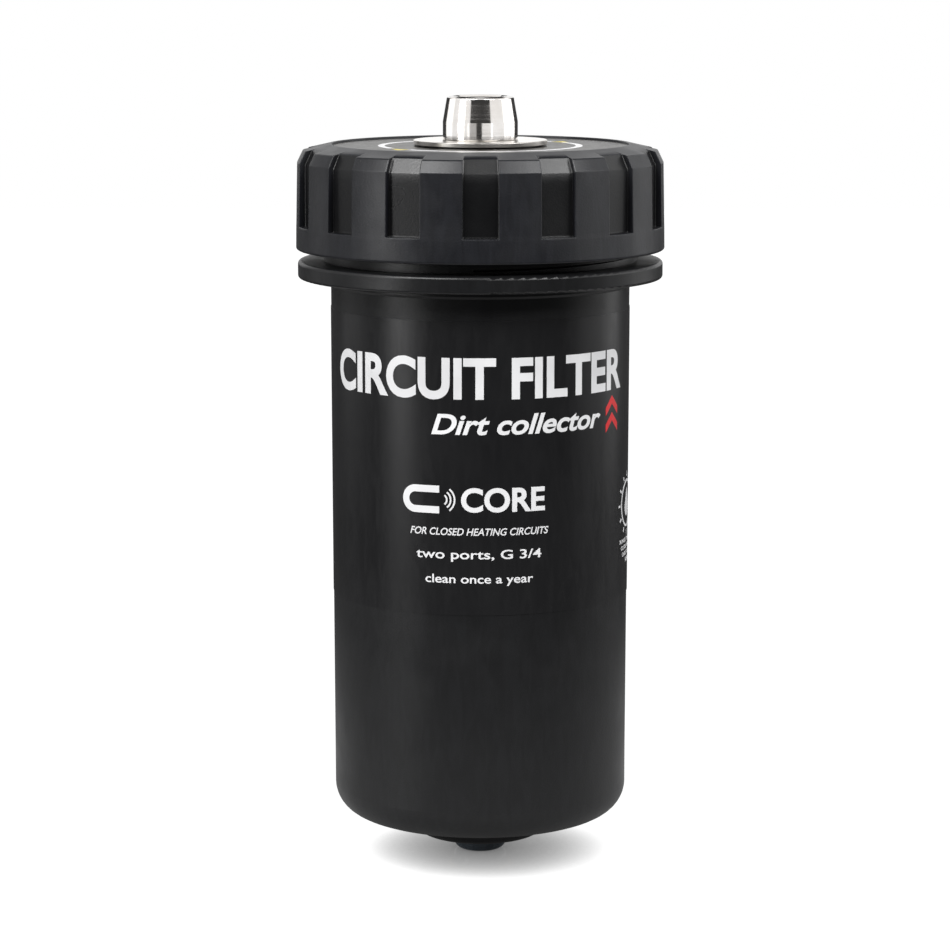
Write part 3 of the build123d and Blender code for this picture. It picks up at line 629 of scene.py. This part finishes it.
def splitAcross(piece, step):
    # vertical cuts at even steps, so that flat faces bend with the barrel
    work = bmesh.new()
    work.from_mesh(piece.data)
    bmesh.ops.remove_doubles(work, verts=work.verts, dist=1e-5)
    places = [v.co.x for v in work.verts]
    for x in np.arange(math.floor(min(places) / step) * step, max(places), step):
        bmesh.ops.bisect_plane(work, geom=work.verts[:] + work.edges[:] + work.faces[:],
                               plane_co=(x, 0, 0), plane_no=(1, 0, 0), dist=1e-5)
    bmesh.ops.triangulate(work, faces=[f for f in work.faces if len(f.verts) > 4])
    bmesh.ops.recalc_face_normals(work, faces=work.faces)
    work.to_mesh(piece.data)
    work.free()


def wrapOnBarrel(piece, size):
    # across becomes an angle from the front, up stays the height, and the ink's depth grows the radius
    splitAcross(piece, size["cut"])
    across, up, level = readPoints(piece.data).T
    face = filmRadius(up, size)
    angle = across / face
    radius = face + np.where(level > 0, size["lift"], -size["sunk"])
    writePoints(piece.data, np.stack([radius * np.sin(angle), -radius * np.cos(angle), up], -1) * mm)
    piece.data.shade_flat()
    return piece


def arc(across, up, radius, start, end, count=33):
    turn = np.radians(np.linspace(start, end, count))
    return np.stack([across + radius * np.cos(turn), up + radius * np.sin(turn)], -1)


def flatPiece(name, grid, **closing):
    return tidyNormals(meshFromGrid(name, grid, **closing))


def horseshoe(across, up, size):
    # a U lying on its side with its poles to the right, and three short field lines between them
    bowRadius, poles = size * 0.62, across + size * 1.5
    bow = np.concatenate([[[poles, up + bowRadius]], arc(across, up, bowRadius, 90, 270),
                          [[poles, up - bowRadius]]])
    parts = [flatPiece("bow", strokeGrid(bow, size * 0.42), closeU=False, closeV=True)]
    for k in range(3):
        reach = size * (0.55 + 0.38 * k)
        line = arc(across + size * 1.62, up, reach * 0.62, -52, 52, 15)
        parts.append(flatPiece("field", strokeGrid(line, size * 0.1), closeU=False, closeV=True))
    return parts


def roundMark(across, up, size):
    # a ring holding a drop, with short rays round it
    circle = arc(across, up, size * 0.72, 0, 360 - 360 / 64, 64)
    turn = np.linspace(0, tau, 48, endpoint=False)
    tip = np.clip(np.sin(turn), 0, 1)     # draws the upper half in to a point
    drop = np.stack([across + size * 0.34 * np.cos(turn) * (1 - 0.45 * tip),
                     up - size * 0.08 + size * (0.34 * np.sin(turn) + 0.22 * tip ** 3)], -1)
    parts = [flatPiece("ring", strokeGrid(circle, size * 0.08, True), closeV=True),
             flatPiece("drop", fillGrid(drop))]
    for k in range(12):
        out = np.array([math.cos(math.radians(30 * k)), math.sin(math.radians(30 * k))])
        ray = [(across, up) + size * r * out for r in (0.84, 0.92, 1.0)]
        parts.append(flatPiece("ray", strokeGrid(ray, size * 0.07), closeU=False, closeV=True))
    return parts


def flowArrow(across, up, width, tall):
    # two stacked chevron heads pointing up
    left = [[-0.5, -0.22], [0.0, 0.12], [0.0, 0.36], [-0.5, 0.02]]
    right = [[0.0, 0.12], [0.5, -0.22], [0.5, 0.02], [0.0, 0.36]]
    parts = []
    for lift in (-0.28, 0.22):
        for half in (left, right):
            shape = np.array(half) * (width, tall) + (across, up + lift * tall)
            parts.append(flatPiece("chevron", fillGrid(shape)))
    return parts


def printBarrel(size):
    title = textPiece("frontTitle", [size["title"]])
    word = textPiece("magnetWord", [size["word"]])
    mark = joinPieces("magnetMark", horseshoe(*size["magnetMark"]))
    small = textPiece("frontLines", size["lines"])
    under = textPiece("frontSubline", [size["subline"]])
    side = textPiece("sideLines", size["sideLines"])
    emblem = joinPieces("sideMark", roundMark(*size["sideMark"]))
    flow = joinPieces("flowMark", flowArrow(*size["flowMark"]))
    for piece in (title, word, mark, small, under, side, emblem):
        ink = "titleInk" if piece is title else "whiteInk"
        dress(wrapOnBarrel(piece, size), ink, "canister")
    dress(wrapOnBarrel(flow, size), "redInk", "canister")


printBarrel(printing)
print("stage: barrel print")


capPrint = {
    "ringRadius": 35.4, "ringWidth": 2.4, "lift": 0.03, "sunk": 0.02,
    "arrows": [(218.5, 37.2), (35.0, 36.8)],   # angle and radius of each head
    "arcFrom": 7, "arcTo": 173,                # each line's start and end, in degrees after its head
    "headLong": 7.0, "headWide": 5.2,
}


def layOnCap(piece, size):
    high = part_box("cap_label")[1].z / mm
    points = readPoints(piece.data)
    points[:, 2] = high + np.where(points[:, 2] > 0, size["lift"], -size["sunk"])
    writePoints(piece.data, points * mm)
    piece.data.shade_flat()
    return piece


def printCap(size):
    # a ring broken at two places, each end led by a turning arrowhead
    parts = []
    for start, _ in size["arrows"]:
        line = arc(0, 0, size["ringRadius"], start + size["arcFrom"], start + size["arcTo"], 90)
        parts.append(flatPiece("arcLine", strokeGrid(line, size["ringWidth"]), closeU=False, closeV=True))
    dress(layOnCap(joinPieces("capRing", parts), size), "whiteInk", "screw_cap")
    heads = []
    for angle, radius in size["arrows"]:
        turn = math.radians(angle)
        place = radius * np.array([math.cos(turn), math.sin(turn)])
        ahead = np.array([math.sin(turn), -math.cos(turn)])
        out = place / radius
        head = [place + ahead * size["headLong"] * a + out * size["headWide"] * b
                for a, b in ((-0.5, -0.5), (0.5, 0.0), (-0.5, 0.5))]
        heads.append(flatPiece("head", fillGrid(head)))
    dress(layOnCap(joinPieces("capArrows", heads), size), "yellowInk", "screw_cap")


printCap(capPrint)
print("stage: cap print")


port = {
    "pitch": 1.814, "depth": 1.16, "crest": 13.22, "faceY": 74.0, "bossY": 60.0, "runOut": 1.6,
    "bore": 9.5, "relief": 10.6, "throatY": 61.0, "innerY": 46.8, "root": 15.0, "groove": (53.2, 55.2, 13.8),
    "columns": 120, "endChamfer": 1.0, "edge": 0.1,
}


def threadedPort(name, node, size):
    # A turned outline along the port's axis; over the threaded part the radius drops by a rounded V
    # whose place along the axis moves one pitch for each turn.
    low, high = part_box(node)
    face = high.y / mm
    shift = face - size["faceY"]      # nought unless the node's face has been moved
    inner, boss, throat = (size[key] + shift for key in ("innerY", "bossY", "throatY"))
    crest, root, bore, relief, edge = (size[key] for key in ("crest", "root", "bore", "relief", "edge"))
    threadStart, threadEnd = boss + size["runOut"], face - size["endChamfer"]
    rows = np.arange(threadStart, threadEnd, size["pitch"] / 10)
    first, second, neck = size["groove"]
    valleyRadius = crest - size["depth"]
    head = [(relief, inner), (root, inner, 0.3), (root, first + shift, edge), (neck, first + shift, edge),
            (neck, second + shift, edge), (root, second + shift, edge), (root, boss, edge),
            (valleyRadius, boss, edge), (valleyRadius, threadStart - 0.2)]
    tail = [(crest - size["endChamfer"], face, 0.2), (bore + 0.4, face, edge), (bore, face - 0.4, edge),
            (bore, throat, 0.2), (relief, throat + 1.1, 0.2)]
    line = np.concatenate([softOutline(head, hold=0.2, arcSteps=3),
                           np.column_stack([np.full(len(rows), crest), rows]),
                           softOutline(tail, hold=0.2, arcSteps=3)])
    outline, along = line[None, :, 0], line[None, :, 1]
    threaded = (along >= threadStart - 1e-6) & (along < threadEnd) & (outline > crest - 1e-6)
    angle = np.linspace(0, tau, size["columns"], endpoint=False)[:, None]
    phase = (along / size["pitch"] - angle / tau) % 1.0
    valley = np.clip(np.abs(phase - 0.5) * 2.3 - 0.12, 0, 1)
    fade = np.clip((threadEnd - along) / 0.9, 0, 1)
    radius = outline - size["depth"] * np.where(threaded, 1 - valley * fade, 0)
    centre = (low.z + high.z) / 2 / mm
    grid = np.stack([radius * np.cos(angle), np.broadcast_to(along, radius.shape),
                     centre + radius * np.sin(angle)], -1)
    piece = tidyNormals(meshFromGrid(name, grid * mm, closeV=True))
    dress(piece, "portNickel", "canister")
    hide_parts(node)


threadedPort("lowerPort", "lower_spigot", port)
threadedPort("upperPort", "upper_spigot", port)
print("stage: ports")


studio = {
    "lens": 125.05, "cameraX": -0.0019, "cameraY": -1.1839, "cameraZ": 0.3286, "pitch": 9.1,
    "floorSize": 6.0, "floorNear": 0.12, "floorFar": 0.5,
    "floorDark": (0.20, 0.20, 0.20), "floorPale": (0.21, 0.21, 0.21),
    "nearGlow": 0.6, "farGlow": 0.04, "openGlow": 2.3, "mostGlow": 1.05, "roomGlow": 0.05,
    "openReach": 0.6,                           # how far off an object still shades the floor
    "shadeLean": 0.35, "shadeReach": 0.07,      # the painted shadow is weaker on the left
}


def addCamera(size):
    camera = bpy.data.cameras.new("camera")
    camera.lens = size["lens"]
    camera.sensor_width = 36
    camera.clip_end = 50
    holder = bpy.data.objects.new("camera", camera)
    holder.location = (size["cameraX"], size["cameraY"], size["cameraZ"])
    holder.rotation_euler = (math.radians(90 - size["pitch"]), 0, 0)
    bpy.context.scene.collection.objects.link(holder)
    bpy.context.scene.camera = holder


def lit(name, owners):
    # a set of the objects that one lamp reaches
    reached = bpy.data.collections.new(name)
    for owner in owners:
        reached.objects.link(owner)
    return reached


def addSoftbox(name, azimuth, distance, height, width, tall, glow, aim, onto):
    turn = math.radians(azimuth)
    place = np.array([distance * math.sin(turn), -distance * math.cos(turn), height])
    light = bpy.data.lights.new(name, "AREA")
    light.shape = "RECTANGLE"
    light.size, light.size_y = width, tall
    light.energy = glow * math.pi * width * tall
    holder = bpy.data.objects.new(name, light)
    holder.location = place
    toward = np.array([0, 0, aim]) - place
    holder.rotation_euler = (math.atan2(math.hypot(toward[0], toward[1]), -toward[2]), 0,
                             math.atan2(toward[1], toward[0]) - math.pi / 2)
    holder.visible_camera = False
    bpy.context.scene.collection.objects.link(holder)
    holder.light_linking.receiver_collection = onto


def addFloor(size):
    # pale, and shown by its own glow rather than by the lamps: it glows by how open it lies to the room,
    # which paints the base's shadow on it; to reflections it is bright only near the object
    half = size["floorSize"] / 2
    grid = np.array([[(-half, -half, 0), (-half, half, 0)], [(half, -half, 0), (half, half, 0)]])
    floor = meshFromGrid("floor", grid, closeU=False)
    material, tree, shader, place = newMaterial("paleFloor")
    field = placeGroup(tree, "mouldGrain", {"Vector": place, "Grain Size": 0.002})
    tree.links.new(mixColour(tree, field.outputs["Mottle"], size["floorDark"], size["floorPale"]),
                   shader.inputs["Base Color"])
    seen = addNode(tree, "ShaderNodeLightPath").outputs["Is Camera Ray"]
    openness = addNode(tree, "ShaderNodeAmbientOcclusion", {"Distance": size["openReach"]},
                       samples=32).outputs["AO"]
    away = addNode(tree, "ShaderNodeVectorMath", {0: place}, operation="LENGTH").outputs["Value"]
    soft = addNode(tree, "ShaderNodeMapRange", {0: away, 1: size["floorNear"], 2: size["floorFar"],
                                                3: size["nearGlow"], 4: size["farGlow"]})
    soft.interpolation_type = "SMOOTHSTEP"
    # painted shadow: the glow is stronger on the left, so the shadow there is weaker
    across = addNode(tree, "ShaderNodeSeparateXYZ", {0: place}).outputs[0]
    lean = addNode(tree, "ShaderNodeMapRange", {0: across, 1: -size["shadeReach"], 2: size["shadeReach"],
                                                3: size["openGlow"] * (1 + size["shadeLean"]),
                                                4: size["openGlow"] * (1 - size["shadeLean"] / 3)})
    leaning = mathNode(tree, "MULTIPLY", openness, lean.outputs[0])
    shown = mathNode(tree, "MINIMUM", leaning, size["mostGlow"])
    hidden = mathNode(tree, "MULTIPLY", openness, soft.outputs[0])
    strength = addNode(tree, "ShaderNodeMix", {"Factor": seen, "A": hidden, "B": shown}, data_type="FLOAT")
    shader.inputs["Roughness"].default_value = 0.12
    shader.inputs["Specular IOR Level"].default_value = 0.35
    shader.inputs["Emission Color"].default_value = (1, 1, 1, 1)
    tree.links.new(strength.outputs["Result"], shader.inputs["Emission Strength"])
    floor.data.materials.append(material)
    return floor


def addWorld(size):
    world = bpy.data.worlds.new("studio")
    bpy.context.scene.world = world
    world.use_nodes = True
    tree = world.node_tree
    # white to the eye, dim to everything else
    seen = addNode(tree, "ShaderNodeLightPath").outputs["Is Camera Ray"]
    shown = mixColour(tree, seen, (size["roomGlow"],) * 3, (1.0, 1.0, 1.0))
    feed(tree, tree.nodes["Background"], {"Color": shown, "Strength": 1.0})


addCamera(studio)
floorPiece = addFloor(studio)
addWorld(studio)
pieces = [o for o in bpy.context.scene.objects if o.type == "MESH" and o != floorPiece]
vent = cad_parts["vent_body"]
reach = {
    "allPieces": lit("withoutFloor", pieces),
    "dull": lit("withoutVent", [o for o in pieces if o != vent]),
    "washer": lit("washerOnly", [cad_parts["vent_washer"]]),
    "vent": lit("ventOnly", [vent]),
    "cap": lit("capOnly", [capPiece]),
}
softboxes = {
    # degrees to the right of the camera's side, distance and height in m, width, height of the panel,
    # brightness, the height it aims at, and what it reaches
    "leftKey": (-38, 1.6, 1.55, 1.3, 0.9, 9.6, 0.14, "allPieces"),
    "rightKey": (42, 1.6, 1.55, 1.3, 0.9, 9.6, 0.14, "allPieces"),
    "leftBox": (-62, 1.2, 0.45, 0.42, 1.3, 3.5, 0.14, "allPieces"),
    "leftFill": (-112, 1.2, 0.45, 0.7, 1.3, 0.55, 0.14, "allPieces"),
    "rightBox": (118, 1.2, 0.45, 0.42, 1.3, 1.7, 0.14, "allPieces"),
    "rightFill": (92, 1.2, 0.45, 0.6, 1.3, 0.75, 0.14, "allPieces"),
    "backBox": (180, 1.5, 0.85, 2.6, 1.5, 0.9, 0.14, "dull"),
    "rimBox": (180, 1.5, 0.60, 0.5, 0.5, 1.0, 0.14, "vent"),
    "ventTop": (0, 0.05, 0.90, 2.2, 2.2, 1.1, 0.27, "vent"),
    "washerBack": (180, 1.5, 0.55, 2.0, 0.6, 0.8, 0.27, "washer"),
    "washerFront": (0, 0.6, 0.14, 1.3, 0.25, 0.42, 0.26, "washer"),
    "capRight": (70, 1.2, 0.55, 0.5, 0.9, 1.7, 0.24, "cap"),
    "ventLeft": (-81, 0.6, 0.30, 1.34, 0.8, 1.0, 0.27, "vent"),
    "ventRight": (81, 0.6, 0.30, 1.34, 0.8, 1.05, 0.27, "vent"),
    "ventLowLeft": (-26, 0.5, 0.16, 0.26, 0.26, 0.5, 0.27, "vent"),
    "ventLowRight": (21, 0.5, 0.16, 0.30, 0.26, 0.95, 0.27, "vent"),
}
for name, (*setting, onto) in softboxes.items():
    addSoftbox(name, *setting, reach[onto])
bpy.context.scene.view_settings.view_transform = "Standard"
print("stage: studio")
